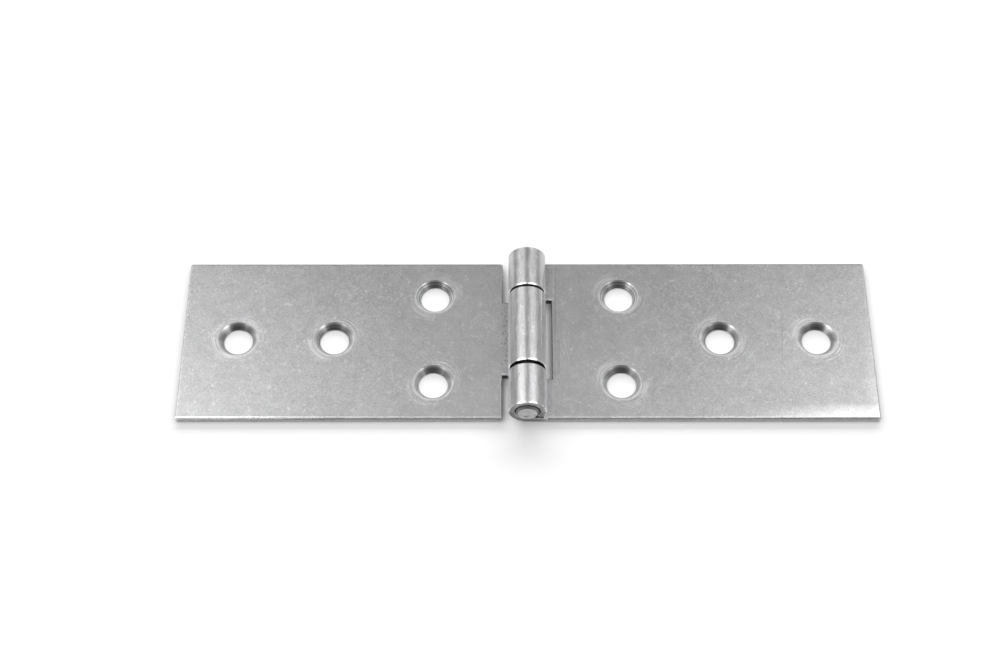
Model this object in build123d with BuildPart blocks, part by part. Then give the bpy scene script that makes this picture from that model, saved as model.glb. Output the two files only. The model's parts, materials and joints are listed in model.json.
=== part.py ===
"""Three-knuckle sheet-steel hinge with long leaves, lying open flat with its knuckles upwards.

Millimetres, +Z up. The pin runs along Y. The origin is on the surface that the hinge lies on,
straight below the middle of the pin. The leaf with the centre knuckle reaches towards -X, and the
leaf with the two outer knuckles towards +X. Both leaves are stamped from sheet, and their tabs are
rolled up round the pin, so that the underside of the sheet becomes the outside of the knuckles.
"""

import os
from math import asin, degrees

from build123d import *

os.makedirs("parts", exist_ok=True)

# Sheet and leaves
sheet = 1.5
leaf_width = 40.0
leaf_reach = 75.0
rolled_edge = 0.45
underside_chamfer = 0.2

# Pin, and its running fit in the knuckles
pin_diameter = 5.0
pin_clearance = 0.05
pin_proud = 0.45
pin_chamfer = 0.45

# Knuckles: the near gap is the wider one, as on a hinge pushed along its pin
centre_knuckle = 18.9
far_gap = 0.5
near_gap = 0.8
notch_clearance = 1.3
curl_gap = 0.1

# Screw holes, placed from the pin's axis and from the middle of the leaf's width
screw_hole_diameter = 6.3
countersink_diameter = 8.8
countersink_angle = 90.0
cross_pair_reach = 20.25
cross_pair_spacing = 22.2
long_pair_reach = 42.0
long_pair_spacing = 21.0

# Worked out from the sizes above
bore_radius = pin_diameter / 2 + pin_clearance
barrel_radius = bore_radius + sheet
notch_edge = barrel_radius + notch_clearance
knuckle_slot = centre_knuckle + far_gap + near_gap
centre_knuckle_far = knuckle_slot / 2 - far_gap
centre_knuckle_near = near_gap - knuckle_slot / 2
curl_end_below_level = degrees(asin((barrel_radius - sheet - curl_gap) / barrel_radius))
curl_sweep = 270 + curl_end_below_level
pin_length = leaf_width + 2 * pin_proud
past_barrel = 2 * barrel_radius
through_barrel = 3 * barrel_radius
seam_tolerance = 0.001


def not_a_seam(edge):
    """Leave out the smooth seam straight below the pin, where flat sheet runs on into the curl."""
    return abs(edge.center().X) > seam_tolerance


def soften_leaf_edges():
    """Round the outer corners, roll the top edges over and break the edges of the underside.

    Both edge chains run on round the knuckles' ends: the top edge becomes the mouth of the bore,
    and the underside's edge becomes the rim of the barrel.
    """
    upright = edges().filter_by(Axis.Z).group_by(Axis.Y)
    fillet(upright[0] + upright[-1], rolled_edge)
    top = faces().filter_by(Axis.Z).sort_by(Axis.Z)[-1]
    fillet(top.edges().filter_by(not_a_seam), rolled_edge)
    underside = faces().filter_by(Axis.Z).sort_by(Axis.Z)[0]
    chamfer(underside.edges().filter_by(not_a_seam), underside_chamfer)


def countersink_screw_holes(side):
    """Cut a leaf's four screw holes from its top, with side 1 for the +X leaf and -1 for the other."""
    across = cross_pair_spacing / 2
    places = [
        (cross_pair_reach, across),
        (cross_pair_reach, -across),
        (long_pair_reach, 0),
        (long_pair_reach + long_pair_spacing, 0),
    ]
    with Locations(*[(side * reach, along_pin, sheet) for reach, along_pin in places]):
        CounterSinkHole(
            screw_hole_diameter / 2,
            countersink_diameter / 2,
            counter_sink_angle=countersink_angle,
        )


# Section of the +X leaf across the pin: flat sheet, and a curl that runs on under the pin, up, over
# and down again, until its cut end stands just clear of the sheet's top
with BuildSketch(Plane.XZ) as rolled_section:
    with BuildLine():
        Line((leaf_reach, 0), (0, 0))
        outside = CenterArc((0, barrel_radius), barrel_radius, -90, -curl_sweep)
        inside = CenterArc((0, barrel_radius), bore_radius, -90, -curl_sweep)
        Line(outside @ 1, inside @ 1)
        Line((0, sheet), (leaf_reach, sheet))
        Line((leaf_reach, sheet), (leaf_reach, 0))
    make_face()

# The -X leaf is rolled the other way round
with BuildSketch(Plane.XZ) as opposite_section:
    mirror(rolled_section.sketch_local, about=Plane.YZ)

# Leaf towards +X: a slot in the middle of its inner edge leaves the far and the near knuckle
with BuildPart() as two_knuckle_leaf:
    extrude(rolled_section.sketch, amount=leaf_width / 2, both=True)
    with BuildSketch():
        with Locations((notch_edge, 0)):
            Rectangle(notch_edge + past_barrel, knuckle_slot, align=(Align.MAX, Align.CENTER))
    extrude(amount=through_barrel, mode=Mode.SUBTRACT)
    soften_leaf_edges()
    countersink_screw_holes(side=1)
two_knuckle_leaf.part.label = "two_knuckle_leaf"
export_step(two_knuckle_leaf.part, "parts/two_knuckle_leaf.step")

# Leaf towards -X: a notch at each end of its inner edge leaves the centre knuckle
with BuildPart() as centre_knuckle_leaf:
    extrude(opposite_section.sketch, amount=leaf_width / 2, both=True)
    with BuildSketch():
        with Locations((-notch_edge, centre_knuckle_far)):
            Rectangle(notch_edge + past_barrel, leaf_width, align=(Align.MIN, Align.MIN))
        with Locations((-notch_edge, centre_knuckle_near)):
            Rectangle(notch_edge + past_barrel, leaf_width, align=(Align.MIN, Align.MAX))
    extrude(amount=through_barrel, mode=Mode.SUBTRACT)
    soften_leaf_edges()
    countersink_screw_holes(side=-1)
centre_knuckle_leaf.part.label = "centre_knuckle_leaf"
export_step(centre_knuckle_leaf.part, "parts/centre_knuckle_leaf.step")

# Pin: plain round bar with chamfered ends, standing a little proud of the knuckles at both ends
with BuildPart() as hinge_pin:
    with BuildSketch(Plane.XZ):
        with Locations((0, barrel_radius)):
            Circle(pin_diameter / 2)
    extrude(amount=pin_length / 2, both=True)
    chamfer(edges().filter_by(GeomType.CIRCLE), pin_chamfer)
hinge_pin.part.label = "hinge_pin"
export_step(hinge_pin.part, "parts/hinge_pin.step")
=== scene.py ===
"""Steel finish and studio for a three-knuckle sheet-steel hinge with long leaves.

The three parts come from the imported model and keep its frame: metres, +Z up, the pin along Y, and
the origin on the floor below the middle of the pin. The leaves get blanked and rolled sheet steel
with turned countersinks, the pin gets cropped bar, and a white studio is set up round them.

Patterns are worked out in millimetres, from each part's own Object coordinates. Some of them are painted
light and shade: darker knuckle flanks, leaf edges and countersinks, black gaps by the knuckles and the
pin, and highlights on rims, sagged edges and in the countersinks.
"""

import json
import math

import bpy
from bpy.props import FloatProperty, FloatVectorProperty, PointerProperty
from mathutils import Matrix, Vector


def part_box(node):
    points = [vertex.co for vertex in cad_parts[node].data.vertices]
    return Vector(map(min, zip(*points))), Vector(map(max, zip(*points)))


bl_info = {
    "name": "Steel Hinge Finish",
    "version": (1, 0, 0),
    "blender": (4, 5, 0),
    "location": "View3D > Sidebar > Hinge",
    "description": "Finishes a rolled sheet-steel hinge and lights it in a white studio",
    "category": "Material",
}

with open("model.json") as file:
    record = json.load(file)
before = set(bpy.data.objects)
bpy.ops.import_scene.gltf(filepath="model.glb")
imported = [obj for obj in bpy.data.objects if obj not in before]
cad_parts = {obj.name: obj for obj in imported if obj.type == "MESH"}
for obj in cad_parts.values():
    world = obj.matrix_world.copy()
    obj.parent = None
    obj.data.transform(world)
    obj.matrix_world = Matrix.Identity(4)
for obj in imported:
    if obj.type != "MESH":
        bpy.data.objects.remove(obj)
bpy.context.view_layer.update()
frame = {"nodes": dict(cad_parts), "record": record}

MOUNTS = {mount["name"]: mount for mount in frame["record"]["mounts"]}
CROSS_SCREWS = MOUNTS["two_knuckle_leaf_cross_screws"]
LONG_SCREWS = MOUNTS["two_knuckle_leaf_long_screws"]
LEAF_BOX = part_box("two_knuckle_leaf")
PIN_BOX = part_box("hinge_pin")

MM_PER_METRE = 1000.0

# Millimetres of play where a mask starts or stops at a face or an edge
MARGIN = 0.02


# Settings


def length_setting(name, description, default, precision=5):
    return FloatProperty(
        name=name,
        description=description,
        default=default,
        subtype="DISTANCE",
        unit="LENGTH",
        precision=precision,
    )


def colour_setting(name, description, default):
    return FloatVectorProperty(
        name=name, description=description, default=default, subtype="COLOR", min=0, max=1
    )


def share_setting(name, description, default, most=1.0):
    return FloatProperty(
        name=name, description=description, default=default, subtype="FACTOR", min=0, max=most
    )


def angle_setting(name, description, degrees):
    return FloatProperty(
        name=name,
        description=description,
        default=math.radians(degrees),
        subtype="ANGLE",
        unit="ROTATION",
    )


def power_setting(name, description, default):
    return FloatProperty(name=name, description=description, default=default, min=0, unit="POWER")


def settings_in(group):
    """The names of a property group's own settings."""
    return [name for name in group.bl_rna.properties.keys() if name not in ("rna_type", "name")]


class HingeSizes(bpy.types.PropertyGroup):
    """Sizes that the finish follows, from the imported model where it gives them."""

    leaf_reach: length_setting("Leaf reach", "From the pin's axis to a leaf's outer edge", LEAF_BOX[1].x)
    half_width: length_setting("Half width", "Half of the leaves' width, along the pin", LEAF_BOX[1].y)
    barrel_radius: length_setting("Barrel radius", "Outside of the knuckles", LEAF_BOX[1].z / 2)
    sheet: length_setting("Sheet", "Thickness of the steel sheet", 0.0015)
    rolled_edge: length_setting("Rolled edge", "Radius along the top edges of the leaves", 0.00045)
    rim_chamfer: length_setting("Rim chamfer", "Broken edge round the knuckles' ends", 0.0002)
    notch_reach: length_setting("Notch reach", "From the pin's axis to the notches' bottom", 0.00535)
    centre_far: length_setting("Centre knuckle's far end", "Along the pin from its middle", 0.0096)
    centre_near: length_setting("Centre knuckle's near end", "Along the pin from its middle", -0.0093)
    outer_start: length_setting("Outer knuckles' start", "Along the pin from its middle", 0.0101)
    hole_radius: length_setting(
        "Hole radius",
        "Screw holes, below the countersink",
        CROSS_SCREWS["dims"]["hole_r_mm"] / MM_PER_METRE,
    )
    countersink_radius: length_setting("Countersink radius", "At the top of the sheet", 0.0044)
    pair_reach: length_setting(
        "Pair reach",
        "From the pin's axis to the two holes side by side",
        abs(CROSS_SCREWS["pos_m"][0]),
    )
    pair_spacing: length_setting(
        "Pair spacing",
        "Between the two holes side by side",
        CROSS_SCREWS["dims"]["spacing_y_mm"] / MM_PER_METRE,
    )
    row_reach: length_setting(
        "Row reach",
        "From the pin's axis to the middle of the two holes in line",
        abs(LONG_SCREWS["pos_m"][0]),
    )
    row_spacing: length_setting(
        "Row spacing",
        "Between the two holes in line",
        LONG_SCREWS["dims"]["spacing_x_mm"] / MM_PER_METRE,
    )
    pin_radius: length_setting("Pin radius", "Radius of the pin", PIN_BOX[1].x)
    pin_chamfer: length_setting("Pin chamfer", "Broken edge of the pin's ends", 0.00045)
    pin_half_length: length_setting("Pin half length", "From the pin's middle to its end", PIN_BOX[1].y)


class HingeSteel(bpy.types.PropertyGroup):
    """Colours and surface of the steel."""

    steel_colour: colour_setting("Steel", "Bare sheet steel", (0.72, 0.72, 0.72))
    cool_colour: colour_setting("Cool tint", "Faint blue stain on the sheet", (0.716, 0.717, 0.726))
    pin_colour: colour_setting("Pin", "Drawn steel bar", (0.68, 0.68, 0.68))
    roughness: share_setting("Roughness", "Roughness of the sheet's flat faces", 0.36)
    mottle: share_setting("Mottle", "How much brightness wanders over a few millimetres", 0.3)
    grain: share_setting("Grain", "How much brightness wanders over a fraction of a millimetre", 0.6)
    grain_depth: length_setting("Grain depth", "Depth of the grain", 0.0000035, 7)
    swirl: share_setting("Swirl marks", "Strength of the scratches round each countersink", 1.5, 2.0)


class HingeStudio(bpy.types.PropertyGroup):
    """Floor, lamps and camera."""

    floor_colour: colour_setting("Floor", "Paper that the hinge lies on", (0.62, 0.62, 0.62))
    floor_glow: share_setting("Floor glow", "White that is only seen, on top of the lit paper", 0.04)
    left_lamp_power: power_setting("Left lamp", "Over the leaf with the centre knuckle", 9.9)
    right_lamp_power: power_setting("Right lamp", "Over the leaf with the outer knuckles", 8.3)
    back_lamp_power: power_setting("Back lamp", "Low down behind the hinge", 30.0)
    room_colour: colour_setting("Room", "Soft light from all round", (0.1, 0.1, 0.1))
    camera_target: FloatVectorProperty(
        name="Camera target",
        description="Point on the floor in the middle of the picture",
        default=(-0.005916, 0.002370, 0.0),
        subtype="XYZ",
        unit="LENGTH",
        precision=5,
    )
    camera_distance: length_setting("Camera distance", "From the camera to its target", 0.42495)
    camera_elevation: angle_setting("Camera elevation", "How steeply the camera looks down", 57.136)
    camera_turn: angle_setting("Camera turn", "From the pin to the line of sight, from above", -0.666)
    camera_roll: angle_setting("Camera roll", "Tilt of the picture", -0.589)
    camera_lens: FloatProperty(
        name="Lens",
        description="Focal length in millimetres on a 36 mm frame",
        default=69.862,
        subtype="DISTANCE_CAMERA",
        unit="CAMERA",
    )


# Shader expressions


class Value:
    """One number in a shader. Arithmetic on it adds the Math nodes that work it out."""

    def __init__(self, graph, socket):
        self.graph = graph
        self.socket = socket

    def __add__(self, other):
        return self.graph.math("ADD", self, other)

    def __radd__(self, other):
        return self.graph.math("ADD", other, self)

    def __sub__(self, other):
        return self.graph.math("SUBTRACT", self, other)

    def __rsub__(self, other):
        return self.graph.math("SUBTRACT", other, self)

    def __mul__(self, other):
        return self.graph.math("MULTIPLY", self, other)

    def __rmul__(self, other):
        return self.graph.math("MULTIPLY", other, self)

    def __truediv__(self, other):
        return self.graph.math("DIVIDE", self, other)

    def __rtruediv__(self, other):
        return self.graph.math("DIVIDE", other, self)

    def __abs__(self):
        return self.graph.math("ABSOLUTE", self)

    def __gt__(self, other):
        return self.graph.math("GREATER_THAN", self, other)

    def __lt__(self, other):
        return self.graph.math("LESS_THAN", self, other)

    def at_least(self, other):
        return self.graph.math("MAXIMUM", self, other)

    def at_most(self, other):
        return self.graph.math("MINIMUM", self, other)

    def rise(self, low, high):
        """0 below low and 1 above high, with a smooth slope between them."""
        return self.graph.node(
            "ShaderNodeMapRange",
            {"interpolation_type": "SMOOTHSTEP"},
            {"Value": self, "From Min": low, "From Max": high},
        )

    def near(self, middle, half_width, softness):
        """1 within half_width of middle, falling off smoothly over softness."""
        return 1 - abs(self - middle).rise(half_width, half_width + softness)


class Graph:
    """The node tree of one material."""

    def __init__(self, name):
        self.material = bpy.data.materials.new(name)
        self.material.use_nodes = True
        self.tree = self.material.node_tree
        self.tree.nodes.clear()

    def node(self, kind, settings=None, sockets=None, output=0):
        """Add a node, set its settings first and then its sockets, and return one of its outputs."""
        made = self.tree.nodes.new(kind)
        for name, setting in (settings or {}).items():
            setattr(made, name, setting)
        for name, value in (sockets or {}).items():
            if isinstance(value, Value):
                self.tree.links.new(value.socket, made.inputs[name])
            else:
                made.inputs[name].default_value = value
        return Value(self, made.outputs[output]) if made.outputs else None

    def math(self, operation, *numbers):
        return self.node("ShaderNodeMath", {"operation": operation}, dict(enumerate(numbers)))

    def distance(self, across, up):
        """From the origin to a point, by its two coordinates."""
        return self.math("SQRT", across * across + up * up)

    def vector(self, operation, *vectors):
        return self.node("ShaderNodeVectorMath", {"operation": operation}, dict(enumerate(vectors)))

    def scaled(self, vector, factor):
        return self.node("ShaderNodeVectorMath", {"operation": "SCALE"}, {0: vector, "Scale": factor})

    def shifted(self, where, by):
        """Coordinates moved by some millimetres, so that two patterns don't fall together."""
        return self.vector("ADD", where, by)

    def turned(self, where, degrees):
        """Coordinates turned about Z."""
        return self.node(
            "ShaderNodeVectorRotate",
            {"rotation_type": "Z_AXIS"},
            {"Vector": where, "Angle": math.radians(degrees)},
        )

    def split(self, vector):
        made = self.tree.nodes.new("ShaderNodeSeparateXYZ")
        self.tree.links.new(vector.socket, made.inputs[0])
        return [Value(self, made.outputs[axis]) for axis in range(3)]

    def join(self, x, y, z):
        return self.node("ShaderNodeCombineXYZ", None, {0: x, 1: y, 2: z})

    def blend(self, factor, first, second):
        """Mix two colours."""
        return self.node(
            "ShaderNodeMix",
            {"data_type": "RGBA", "clamp_factor": True},
            {0: factor, 6: first, 7: second},
            output=2,
        )

    def noise(self, where, scale, detail=2.0, roughness=0.5, distortion=0.0):
        """Soft noise about 0.5, with scale features in a millimetre."""
        return self.node(
            "ShaderNodeTexNoise",
            None,
            {
                "Vector": where,
                "Scale": scale,
                "Detail": detail,
                "Roughness": roughness,
                "Distortion": distortion,
            },
        )

    def stretched(self, where, stretch, detail=2.0):
        """Noise with its features stretched: stretch is how many fit in a millimetre each way."""
        return self.noise(self.vector("MULTIPLY", where, stretch), 1.0, detail)


class Millimetres:
    """The hinge's sizes in millimetres, under the names that they have in its settings."""

    def __init__(self, sizes):
        for name in settings_in(sizes):
            setattr(self, name, MM_PER_METRE * getattr(sizes, name))


class Spot:
    """Where on a part a point is, in millimetres, and which way the part reaches from the pin."""

    def __init__(self, graph, side, sizes):
        place = graph.node("ShaderNodeTexCoord", output="Object")
        self.where = graph.scaled(place, MM_PER_METRE)
        self.x, self.y, self.z = graph.split(self.where)
        self.side = side
        self.reach = side * self.x
        self.over_axis = self.z - sizes.barrel_radius


def on_top_face(spot, sizes):
    """1 on a leaf's top face, and on the upper part of its rolled edges."""
    return spot.z > sizes.sheet - 0.1


class Surface:
    """Steel as it builds up: brightness near 1, roughness, and relief in millimetres."""

    # The lightest steel times the brightest mark stays just short of white
    darkest = 0.02
    brightest = 1.36
    smoothest = 0.12

    def __init__(self, graph, spot, steel):
        self.graph = graph
        where = spot.where
        clouds = graph.noise(where, 0.06)
        blotches = graph.noise(where, 0.4, detail=4.0, roughness=0.6, distortion=0.5)
        curls = graph.noise(where, 1.3, detail=1.0, distortion=0.7).near(0.5, 0.0, 0.03)
        flecks = graph.noise(graph.shifted(where, (7.0, 3.0, 1.0)), 2.1, detail=1.0).rise(0.6, 0.72)
        fleck_patches = graph.noise(where, 0.22).rise(0.42, 0.6)
        # The grain is fainter by the pin
        grain_strength = 0.55 + 0.55 * spot.reach.rise(8.0, 40.0)
        grain = grain_strength * (graph.noise(where, 3.0, roughness=0.6) - 0.5)
        self.brightness = (
            1
            + 0.5 * steel.mottle * (clouds - 0.5)
            + steel.mottle * (blotches - 0.5)
            + steel.grain * grain
            - 0.07 * curls
            + 0.14 * flecks * fleck_patches
        )
        self.roughness = steel.roughness + 0.25 * grain
        self.height = 2 * MM_PER_METRE * steel.grain_depth * grain

    def mark(self, mask, shade=0.0, roughness=0.0, height=0.0):
        """Where mask is 1, change brightness by the share shade, and the roughness and the relief."""
        if shade:
            self.brightness = self.brightness * (1 + shade * mask)
        if roughness:
            self.roughness = self.roughness + roughness * mask
        if height:
            self.height = self.height + height * mask

    def cover(self, mask, brightness, roughness, height):
        """Where mask is 1, put another surface in place of what is there."""
        self.brightness = self.brightness * (1 - mask) + mask * brightness
        self.roughness = self.roughness * (1 - mask) + mask * roughness
        self.height = self.height * (1 - mask) + mask * height

    def finish(self, colour):
        """Steel of a colour, with all that was marked on it."""
        graph = self.graph
        brightness = self.brightness.at_most(self.brightest).at_least(self.darkest)
        relief = {"Distance": 1 / MM_PER_METRE, "Height": self.height}
        steel = graph.node(
            "ShaderNodeBsdfPrincipled",
            None,
            {
                "Base Color": graph.scaled(colour, brightness),
                "Roughness": self.roughness.at_least(self.smoothest),
                "Metallic": 1.0,
                "Normal": graph.node("ShaderNodeBump", None, relief),
            },
        )
        graph.node("ShaderNodeOutputMaterial", None, {"Surface": steel})
        return graph.material


# Marks of handling, stamping, turning and rolling, and painted light and shade


def specks(graph, where, spacing, radius, share):
    """Round specks about spacing apart, 1 inside them, of which only a share shows."""
    cells = {"Vector": where, "Scale": 1 / spacing}
    distance = graph.node("ShaderNodeTexVoronoi", None, cells, output="Distance")
    pick = graph.split(graph.node("ShaderNodeTexVoronoi", None, cells, output="Color"))[0]
    edge = radius / spacing
    return (1 - distance.rise(0.5 * edge, edge)) * (pick < share)


def add_handling_marks(graph, spot, surface):
    """Curly hairlines, straight fine scratches, bright specks and small dark pits."""
    where = spot.where
    curls = graph.noise(where, 0.5, detail=1.0, distortion=1.6)
    curl_patches = graph.noise(where, 0.7, detail=1.0).rise(0.52, 0.62)
    surface.mark(curls.near(0.5, 0.005, 0.035) * curl_patches, shade=0.22)
    scratch_patches = graph.noise(where, 0.14, detail=1.0).rise(0.44, 0.58)
    for degrees in (34, -52, 81):
        lines = graph.stretched(graph.turned(where, degrees), (0.09, 3.2, 3.2), detail=1.0)
        surface.mark(lines.rise(0.67, 0.74) * scratch_patches, shade=0.13)
    bright = specks(graph, where, spacing=2.4, radius=0.19, share=0.5)
    surface.mark(bright, shade=0.34, height=0.004)
    pits = specks(graph, graph.shifted(where, (31, 17, 5)), spacing=2.9, radius=0.2, share=0.5)
    surface.mark(pits, shade=-0.34, roughness=0.1, height=-0.01)


def mark_outer_leaf(spot, surface, sizes, flat):
    """A press line and a tool's print by the slot, brighter tabs, and a scratch further out."""
    x, y = spot.x, spot.y
    line_reach, line_slant = 6.18, 0.0127
    line = x - line_reach - line_slant * y
    on_tab = abs(y) > sizes.outer_start
    surface.mark(flat * line.near(0.0, 0.05, 0.12) * y.near(4.6, 13.6, 1.2), shade=-0.14, height=-0.004)
    surface.mark(flat * line.near(-0.36, 0.24, 0.14) * y.near(-0.3, 9.8, 0.5), shade=-0.1)
    surface.mark(flat * line.near(-0.5, 0.2, 0.16) * on_tab, shade=0.09)
    surface.mark(flat * line.near(-1.5, 0.4, 0.3) * on_tab, shade=0.1)

    tool_print = x.near(6.66, 0.28, 0.14) * y.near(-4.76, 4.2, 0.4)
    print_edge = x.near(6.98, 0.03, 0.1) * y.near(-4.6, 3.9, 0.4)
    surface.mark(flat * tool_print, shade=-0.16, roughness=0.04)
    surface.mark(flat * print_edge, shade=-0.12)

    scratch_reach, scratch_slant = 55.46, 0.0758
    scratch = x - scratch_reach - scratch_slant * y
    surface.mark(flat * scratch.near(0.0, 0.04, 0.12) * y.near(0.45, 9.0, 1.5), shade=-0.13)


def mark_centre_leaf(graph, spot, surface, sizes, flat):
    """Pits and bright specks by the tab, pits at the outer end, and a burnished line on the curl."""
    where = spot.where
    tab_root = flat * spot.reach.near(4.8, 0.55, 0.35) * spot.y.near(0.8, 7.5, 1.2)
    pits = specks(graph, where, spacing=0.62, radius=0.26, share=0.9)
    surface.mark(tab_root * pits, shade=-0.5, roughness=0.1, height=-0.012)
    bright = specks(graph, graph.shifted(where, (9, 4, 2)), spacing=0.7, radius=0.24, share=0.8)
    surface.mark(tab_root * bright, shade=0.32)

    outer_end = (spot.reach > sizes.leaf_reach - 1.0) * spot.y.near(8.5, 6.0, 3.0)
    end_pits = specks(graph, where, spacing=0.8, radius=0.27, share=0.7)
    surface.mark(outer_end * end_pits, shade=-0.5, roughness=0.1)
    burnished_line = (spot.z > sizes.barrel_radius) * spot.x.near(3.12, 0.03, 0.07)
    surface.mark(burnished_line, shade=0.3, roughness=-0.1)


def fall_from(inset, width):
    """1 at an edge, falling evenly to 0 at width inside it."""
    return (1 - inset / width).at_least(0.0)


def pull_down_edges(spot, surface, sizes):
    """The blanking tool pulls the top face down a little along the outline, most at one corner. On the
    leaf with the centre knuckle this is only painted shade along the near edge; on the other leaf it is
    relief with a painted highlight on it.
    """
    top = on_top_face(spot, sizes)
    near_inset = spot.y + sizes.half_width
    if spot.side < 0:
        # Painted shade along the near edge
        edge = fall_from(near_inset, 1.5) * top
        surface.mark(edge * edge, shade=-0.08)
        return
    near = fall_from(near_inset, 3.8) * spot.reach.rise(38.0, 72.0)
    end = fall_from(sizes.leaf_reach - spot.reach, 2.6)
    corner = fall_from(near_inset, 2 * sizes.half_width)
    # The sag is relief, and a painted highlight brightens it
    surface.mark(near * near * top, shade=0.1, height=-0.42)
    surface.mark(end * end * corner * top, shade=0.06, height=-0.1)


def shear_edges(graph, spot, surface, sizes):
    """Blanked edges: bright where the tool slid, then a dark line, then dull and torn.

    The leaf with the centre knuckle is burnished along its near edge, more so towards the outer end.
    """
    sheet = sizes.sheet
    outer = spot.reach.rise(28.0, 72.0)
    past_barrel = spot.reach > sizes.barrel_radius + 0.3
    on_edge = (spot.z > MARGIN) * (spot.z < sheet - 0.01) * past_barrel

    # The sheet is torn below a line that wanders along the edge
    wander = 0.3 * (graph.noise(spot.where, 0.5, detail=3.0) - 0.5)
    tear_line = 1.3 - 0.2 * outer + wander if spot.side < 0 else 1.33 + wander
    below = tear_line - spot.z
    torn = on_edge * below.rise(-0.04, 0.06)

    # The outer ends are less dull
    outer_end = spot.reach > sizes.leaf_reach - sizes.rolled_edge - 0.1
    dull = torn * (1 - 0.6 * outer_end)
    tear_grain = graph.stretched(spot.where, (1.6, 1.6, 5.0), detail=3.0)
    surface.mark(dull * (1 - tear_grain), shade=-0.56, roughness=0.3)
    surface.mark(dull * tear_grain, height=0.05)
    surface.mark(dull * (1 - below.rise(0.2, 0.45)), shade=-0.5)
    if spot.side < 0:
        softness = 0.12
        past_top = (sizes.rolled_edge - sizes.half_width + softness - spot.y).rise(0.0, softness)
        slid = past_top * (spot.z < sheet + 0.01) * (1 - torn) * (spot.z > 0.3)
        surface.mark(slid * (0.15 + 0.85 * outer), shade=0.4, roughness=-0.08)


def roll_knuckles(graph, spot, surface, sizes):
    """Curled sheet: drawn lengthwise grain and worn near rims, with painted shade on the flanks, the far
    rims and the faces in the gaps, and a painted highlight on the near rims.
    """
    chamfer = sizes.rim_chamfer
    if spot.side < 0:
        near_rims = [sizes.centre_near]
        far_rims_painted_dark = [sizes.centre_far]
        gap_faces_painted_dark = [sizes.centre_near, sizes.centre_far]
    else:
        near_rims = [sizes.outer_start, -sizes.half_width]
        far_rims_painted_dark = [-sizes.outer_start]
        gap_faces_painted_dark = [sizes.outer_start, -sizes.outer_start]

    # Painted shade: the flanks are darker than the crown
    curled = spot.z > sizes.sheet + 0.1
    drawn = graph.stretched(spot.where, (2.6, 0.3, 2.6), detail=3.0)
    surface.mark(curled * (drawn - 0.5), shade=0.5, roughness=0.15, height=0.008)
    surface.mark(curled * abs(spot.x).rise(2.3, 3.1), shade=-0.26)

    # Near rims are worn round in relief, and a painted highlight brightens them
    worn_width = 0.22
    for rim in near_rims:
        inset = spot.y - rim
        on_rim = (inset > -MARGIN) * (inset < 1.0) * (spot.z > sizes.barrel_radius)
        worn_and_glint = ((chamfer + worn_width - inset) / worn_width).at_least(0.0).at_most(1.0)
        surface.mark(on_rim * worn_and_glint, shade=0.22, roughness=-0.08)
        surface.mark(on_rim * worn_and_glint * worn_and_glint, height=-0.17 * worn_width)
        surface.mark(on_rim * (chamfer - inset).at_least(0.0), height=0.42)

    # Far rims stay sharp, and painted shade darkens them
    for rim in far_rims_painted_dark:
        inset = rim - spot.y
        surface.mark((inset > -MARGIN) * (inset < chamfer + MARGIN) * curled, shade=-0.4)

    # Painted shade darkens the end faces that look into the gaps
    for end in gap_faces_painted_dark:
        face = spot.y.near(end, 0.03, 0.01) * (spot.reach < sizes.notch_reach + MARGIN)
        surface.mark(face, shade=-0.78)


def dull_barrel_ends_with_painted_shadow(graph, spot, surface, sizes):
    """The cut ends of the outer knuckles: a dull ring, a lighter bore mouth, and painted shadow in the
    gap by the pin and under the curl's end.
    """
    half_width = sizes.half_width
    bore = sizes.barrel_radius - sizes.sheet
    mouth = sizes.rolled_edge
    along = abs(spot.y)
    from_axis = graph.distance(spot.x, spot.over_axis)
    face = (along > half_width - 0.03) * (1 - spot.reach.rise(2.5, sizes.notch_reach))
    cut_grain = graph.noise(spot.where, 1.8, detail=3.0, roughness=0.6)
    surface.mark(face, shade=-0.6, roughness=0.12)
    surface.mark(face * (cut_grain - 0.5), shade=1.0)
    in_mouth = (along > half_width - mouth) * (1 - face) * (from_axis < bore + mouth + 0.05)
    surface.mark(in_mouth, shade=-0.35)

    # Painted shadow in the gap round the pin, blackest on the right and above
    shadow_side = (0.6 * spot.x + 0.8 * spot.over_axis).rise(-1.4, 0.6)
    painted_gap_shadow = (1 - from_axis.rise(bore + 0.1, bore + 0.26)) * (along > half_width - 1.5)
    surface.mark(painted_gap_shadow * shadow_side, shade=-0.85)

    # The curled sheet's end stands just off the flat sheet, and painted shade makes a black wedge
    # between them
    painted_wedge_shadow = (spot.x > 1.6) * (spot.x < 3.5) * (spot.z > 1.3) * (spot.z < 2.1)
    surface.mark(painted_wedge_shadow * (along > half_width - 1.2), shade=-0.7)


class HolePlace:
    """Polar coordinates about the nearest screw hole, for the marks of the countersinking tool."""

    def __init__(self, graph, spot, sizes):
        pair = sizes.pair_reach
        first = sizes.row_reach - sizes.row_spacing / 2
        second = sizes.row_reach + sizes.row_spacing / 2
        past_pair = spot.reach > (pair + first) / 2
        past_first = spot.reach > (first + second) / 2
        centre = pair + (first - pair) * past_pair + (second - first) * past_first
        # 1 at the far hole of the pair, -1 at the near one and 0 at the two in line
        row = (1 - past_pair) * (2 * (spot.y > 0) - 1)
        across = spot.side * (spot.reach - centre)
        up = spot.y - sizes.pair_spacing / 2 * row
        self.radius = graph.distance(across, up)
        self.angle = graph.math("ARCTAN2", up, across)
        # Each hole has a number of its own, so that no two are turned alike
        self.number = centre + 7 * row


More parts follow.
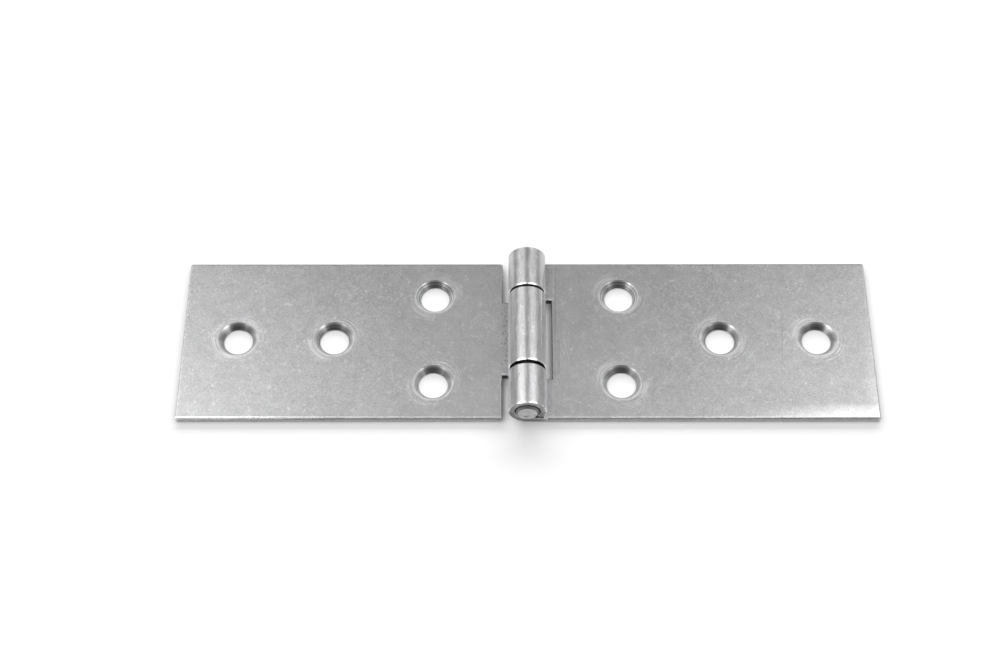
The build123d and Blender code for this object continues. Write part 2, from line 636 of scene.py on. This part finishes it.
def score_round_holes(graph, spot, surface, steel, sizes, hole):
    """Arcs that the tool's chips scored on two opposite sides of each hole."""
    mouth = sizes.countersink_radius
    on_top = on_top_face(spot, sizes)
    fade = on_top * (1 - hole.radius.rise(mouth + 0.4, mouth + 2.6))
    # The scored sides are the other way round on the other leaf
    lean = -0.7 * spot.side
    facing = graph.math("COSINE", 2 * (hole.angle - lean)).rise(-0.3, 0.9)
    polar = graph.join(hole.radius * 2.5, hole.angle * 0.5, hole.number)
    arcs = graph.noise(polar, 1.0, detail=0.5)
    scored = steel.swirl * fade * (0.2 + 0.8 * facing)
    surface.mark(scored, shade=0.06)
    surface.mark(scored * arcs.near(0.52, 0.01, 0.07), shade=0.3, height=0.0012)
    surface.mark(scored * (1 - arcs.rise(0.34, 0.44)), shade=-0.1)
    rim = on_top * hole.radius.near(mouth + 0.16, 0.03, 0.14)
    surface.mark(rim * (0.3 + 0.7 * facing), shade=0.24)


def turn_and_shade_countersinks(graph, spot, surface, steel, sizes, hole):
    """Turned rings down each countersink, with painted shade towards its bottom, a painted highlight
    just inside the mouth and painted light on its left and right.
    """
    mouth = sizes.countersink_radius
    bore = sizes.hole_radius
    # The cone and the bore's wall, down to a little above the underside
    in_hole = (hole.radius < mouth - 0.01) * (hole.radius > bore - 0.4) * (spot.z > 0.22)
    turned = graph.join(hole.radius * 4.6, hole.number, 0.0)
    rings = graph.noise(turned, 1.0, detail=1.5, roughness=0.6) - 0.5
    # Painted highlight just inside the mouth, painted shade towards the bottom, and painted light on the
    # left and right sides
    painted_mouth_highlight = hole.radius.near(mouth - 0.15, 0.04, 0.1)
    shade = 0.3 + 0.3 * hole.radius.rise(bore, mouth) + 1.3 * rings + 0.75 * painted_mouth_highlight
    painted_side_light = abs(graph.math("COSINE", hole.angle)).rise(0.45, 0.95)
    surface.cover(in_hole, shade * (1 + 0.7 * painted_side_light), steel.roughness - 0.08, 0.01 * rings)


# Materials


def leaf_steel(name, side, steel, sizes):
    """Blanked and rolled sheet with turned countersinks. side is -1 for the leaf towards -X."""
    graph = Graph(name)
    spot = Spot(graph, side, sizes)
    surface = Surface(graph, spot, steel)
    add_handling_marks(graph, spot, surface)
    flat = (spot.z > sizes.sheet - MARGIN) * (spot.reach > sizes.barrel_radius + 0.1)
    if side > 0:
        mark_outer_leaf(spot, surface, sizes, flat)
    else:
        mark_centre_leaf(graph, spot, surface, sizes, flat)
    pull_down_edges(spot, surface, sizes)
    shear_edges(graph, spot, surface, sizes)
    roll_knuckles(graph, spot, surface, sizes)
    if side > 0:
        dull_barrel_ends_with_painted_shadow(graph, spot, surface, sizes)
    hole = HolePlace(graph, spot, sizes)
    score_round_holes(graph, spot, surface, steel, sizes, hole)
    turn_and_shade_countersinks(graph, spot, surface, steel, sizes, hole)
    stain = graph.noise(spot.where, 0.035, detail=1.0).rise(0.46, 0.64)
    return surface.finish(graph.blend(stain, (*steel.steel_colour, 1.0), (*steel.cool_colour, 1.0)))


def pin_steel(name, steel, sizes):
    """Drawn bar with cropped ends, and painted shade where it shows in the gaps between the knuckles."""
    graph = Graph(name)
    spot = Spot(graph, 1, sizes)
    surface = Surface(graph, spot, steel)
    drawn = graph.stretched(spot.where, (5.0, 0.4, 5.0))
    surface.mark(drawn - 0.5, shade=0.3, height=0.006)
    # Painted shade where the pin shows in the gaps between the knuckles
    near_gap_painted_shade = (sizes.centre_near - sizes.outer_start) / 2
    far_gap_painted_shade = (sizes.centre_far + sizes.outer_start) / 2
    for middle in (near_gap_painted_shade, far_gap_painted_shade):
        surface.mark(spot.y.near(middle, 0.7, 0.1), shade=-0.8)

    # Cropped ends: a dull flat, and a dark broken edge round it
    flat_radius = sizes.pin_radius - sizes.pin_chamfer
    from_axis = graph.distance(spot.x, spot.over_axis)
    past_knuckles = abs(spot.y) > sizes.half_width - 0.6
    flat = (abs(spot.y) > sizes.pin_half_length - MARGIN) * (from_axis < flat_radius + MARGIN)
    blotches = graph.noise(spot.where, 1.1, detail=3.0, roughness=0.6)
    surface.mark(past_knuckles * (1 - flat), shade=-0.68, roughness=0.1)
    surface.mark(flat, shade=-0.16, roughness=0.1)
    surface.mark(flat * (blotches - 0.5), shade=0.9)

    # The shear broke through in a small lens, low down on the flat
    lens_across = (spot.x + 0.24) / 0.62
    lens_up = (spot.over_axis + 1.16) / 0.26
    in_lens = 1 - (lens_across * lens_across + lens_up * lens_up).rise(0.5, 1.2)
    surface.mark(flat * in_lens, shade=-0.5, height=-0.05)
    return surface.finish((*steel.pin_colour,))


def floor_paper(name, studio):
    """White paper. Besides its light, the camera and reflections see a glow that keeps it white."""
    graph = Graph(name)
    seen = graph.node("ShaderNodeLightPath", output="Is Camera Ray")
    for kind in ("Is Glossy Ray", "Is Transmission Ray"):
        seen = seen.at_least(graph.node("ShaderNodeLightPath", output=kind))
    colour = (*studio.floor_colour, 1.0)
    white = (1.0, 1.0, 1.0, 1.0)
    paper = graph.node("ShaderNodeBsdfDiffuse", None, {"Color": colour, "Roughness": 0.0})
    glow = graph.node("ShaderNodeEmission", None, {"Color": white, "Strength": studio.floor_glow * seen})
    both = graph.node("ShaderNodeAddShader", None, {0: paper, 1: glow})
    graph.node("ShaderNodeOutputMaterial", None, {"Surface": both})
    # The glow is only seen, and isn't a lamp that lights the hinge
    graph.material.cycles.emission_sampling = "NONE"
    return graph.material


def dress(node, material):
    """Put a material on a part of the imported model, in place of the one it came with."""
    slots = frame["nodes"][node].material_slots
    if not slots:
        raise RuntimeError(f"{node} has no material slot to fill")
    for slot in slots:
        slot.material = material


# Studio


def add_lamp(name, power, size, place, aim):
    """A soft rectangular lamp at place that faces aim. size is its level side, then its sloping one."""
    lamp = bpy.data.lights.new(name, "AREA")
    lamp.shape = "RECTANGLE"
    lamp.size, lamp.size_y = size
    lamp.energy = power
    lamp_object = bpy.data.objects.new(name, lamp)
    bpy.context.scene.collection.objects.link(lamp_object)
    facing = (Vector(aim) - Vector(place)).to_track_quat("-Z", "Y").to_matrix().to_4x4()
    lamp_object.matrix_world = Matrix.Translation(place) @ facing
    lamp_object.visible_camera = False
    return lamp_object


def select_edges(mesh, wanted):
    """Select just the edges that have both ends where wanted says."""
    for parts in (mesh.vertices, mesh.edges, mesh.polygons):
        parts.foreach_set("select", [False] * len(parts))
    for edge in mesh.edges:
        ends = [mesh.vertices[end] for end in edge.vertices]
        if all(wanted(end.co) for end in ends):
            edge.select = True
            for end in ends:
                end.select = True


def lay_paper_sweep(paper):
    """A round sheet of paper that turns up into a low wall all round, well outside the lamps.

    It lies a hair below the hinge, so that no two faces share a plane.
    """
    radius = 2.4
    wall = 0.9
    bend = 0.7
    below = (0, 0, -0.00002)
    bpy.ops.object.select_all(action="DESELECT")
    bpy.ops.mesh.primitive_circle_add(vertices=96, radius=radius, fill_type="NGON", location=below)
    sweep = bpy.context.active_object
    sweep.name = "paper_sweep"
    bpy.ops.object.mode_set(mode="EDIT")
    bpy.ops.mesh.select_mode(type="EDGE")
    bpy.ops.mesh.select_all(action="SELECT")
    bpy.ops.mesh.region_to_loop()
    bpy.ops.mesh.extrude_region_move(TRANSFORM_OT_translate={"value": (0, 0, wall)})
    bpy.ops.object.mode_set(mode="OBJECT")
    select_edges(sweep.data, lambda place: place.z < wall / 2)
    bpy.ops.object.mode_set(mode="EDIT")
    bpy.ops.mesh.bevel(offset=bend, segments=12, affect="EDGES")
    bpy.ops.mesh.select_all(action="SELECT")
    bpy.ops.mesh.normals_make_consistent(inside=True)
    bpy.ops.object.mode_set(mode="OBJECT")
    bpy.ops.object.shade_smooth()
    sweep.data.materials.append(paper)


# Operators


class HINGE_OT_finish_leaves(bpy.types.Operator):
    """Give both leaves their sheet steel"""

    bl_idname = "hinge.finish_leaves"
    bl_label = "Finish Leaves"

    def execute(self, context):
        steel = context.scene.hinge_steel
        sizes = Millimetres(context.scene.hinge_sizes)
        dress("centre_knuckle_leaf", leaf_steel("centre_leaf_steel", -1, steel, sizes))
        dress("two_knuckle_leaf", leaf_steel("outer_leaf_steel", 1, steel, sizes))
        return {"FINISHED"}


class HINGE_OT_finish_pin(bpy.types.Operator):
    """Give the pin its drawn steel"""

    bl_idname = "hinge.finish_pin"
    bl_label = "Finish Pin"

    def execute(self, context):
        sizes = Millimetres(context.scene.hinge_sizes)
        dress("hinge_pin", pin_steel("pin_steel", context.scene.hinge_steel, sizes))
        return {"FINISHED"}


class HINGE_OT_build_stage(bpy.types.Operator):
    """Lay the floor and set up the lamps and the soft light of the room"""

    bl_idname = "hinge.build_stage"
    bl_label = "Build Stage"

    def execute(self, context):
        studio = context.scene.hinge_studio
        lay_paper_sweep(floor_paper("floor_paper", studio))
        # Two large lamps hang over the leaves, with their middles a little in front of the hinge's
        out, front, height = 0.59, -0.08, 0.88
        for name, side, power in (
            ("left_lamp", -1, studio.left_lamp_power),
            ("right_lamp", 1, studio.right_lamp_power),
        ):
            place = (side * out, front, height)
            add_lamp(name, power, size=(1.4, 0.9), place=place, aim=(0.0, front, 0.0))
        # The low lamp behind lights the floor, and isn't mirrored in the steel
        power = studio.back_lamp_power
        low = add_lamp("back_lamp", power, size=(2.2, 0.6), place=(0.0, 1.15, 0.62), aim=(0, 0, 0))
        low.visible_glossy = False
        world = bpy.data.worlds.new("studio_room")
        world.use_nodes = True
        background = world.node_tree.nodes["Background"]
        background.inputs["Color"].default_value = (*studio.room_colour, 1.0)
        context.scene.world = world
        context.scene.view_settings.view_transform = "Standard"
        return {"FINISHED"}


class HINGE_OT_place_camera(bpy.types.Operator):
    """Stand the camera in front of the hinge, looking steeply down"""

    bl_idname = "hinge.place_camera"
    bl_label = "Place Camera"

    def execute(self, context):
        studio = context.scene.hinge_studio
        turn = studio.camera_turn
        fall = studio.camera_elevation
        sight = Vector(
            (math.sin(turn) * math.cos(fall), math.cos(turn) * math.cos(fall), -math.sin(fall))
        )
        level = Vector((math.cos(turn), -math.sin(turn), 0.0))
        right = Matrix.Rotation(-studio.camera_roll, 3, sight) @ level
        up = right.cross(sight)
        place = Vector(studio.camera_target) - studio.camera_distance * sight
        camera = bpy.data.cameras.new("studio_camera")
        camera.sensor_width = 36
        camera.lens = studio.camera_lens
        camera.clip_start = 0.01
        camera_object = bpy.data.objects.new("studio_camera", camera)
        context.scene.collection.objects.link(camera_object)
        axes = Matrix((right, up, -sight)).transposed()
        camera_object.matrix_world = Matrix.Translation(place) @ axes.to_4x4()
        context.scene.camera = camera_object
        return {"FINISHED"}


class HINGE_PT_panel(bpy.types.Panel):
    """The hinge's settings and steps"""

    bl_idname = "HINGE_PT_panel"
    bl_label = "Steel Hinge"
    bl_space_type = "VIEW_3D"
    bl_region_type = "UI"
    bl_category = "Hinge"

    def draw(self, context):
        scene = context.scene
        for step in STEPS:
            self.layout.operator(step.bl_idname)
        for group in (scene.hinge_sizes, scene.hinge_steel, scene.hinge_studio):
            box = self.layout.box()
            for name in settings_in(group):
                box.prop(group, name)


STEPS = (HINGE_OT_finish_leaves, HINGE_OT_finish_pin, HINGE_OT_build_stage, HINGE_OT_place_camera)
CLASSES = (HingeSizes, HingeSteel, HingeStudio, *STEPS, HINGE_PT_panel)


def register():
    for added in CLASSES:
        bpy.utils.register_class(added)
    bpy.types.Scene.hinge_sizes = PointerProperty(type=HingeSizes)
    bpy.types.Scene.hinge_steel = PointerProperty(type=HingeSteel)
    bpy.types.Scene.hinge_studio = PointerProperty(type=HingeStudio)


def unregister():
    del bpy.types.Scene.hinge_studio
    del bpy.types.Scene.hinge_steel
    del bpy.types.Scene.hinge_sizes
    for added in reversed(CLASSES):
        bpy.utils.unregister_class(added)


def main():
    register()
    bpy.ops.hinge.finish_leaves()
    bpy.ops.hinge.finish_pin()
    bpy.ops.hinge.build_stage()
    bpy.ops.hinge.place_camera()


if __name__ == "__main__":
    main()
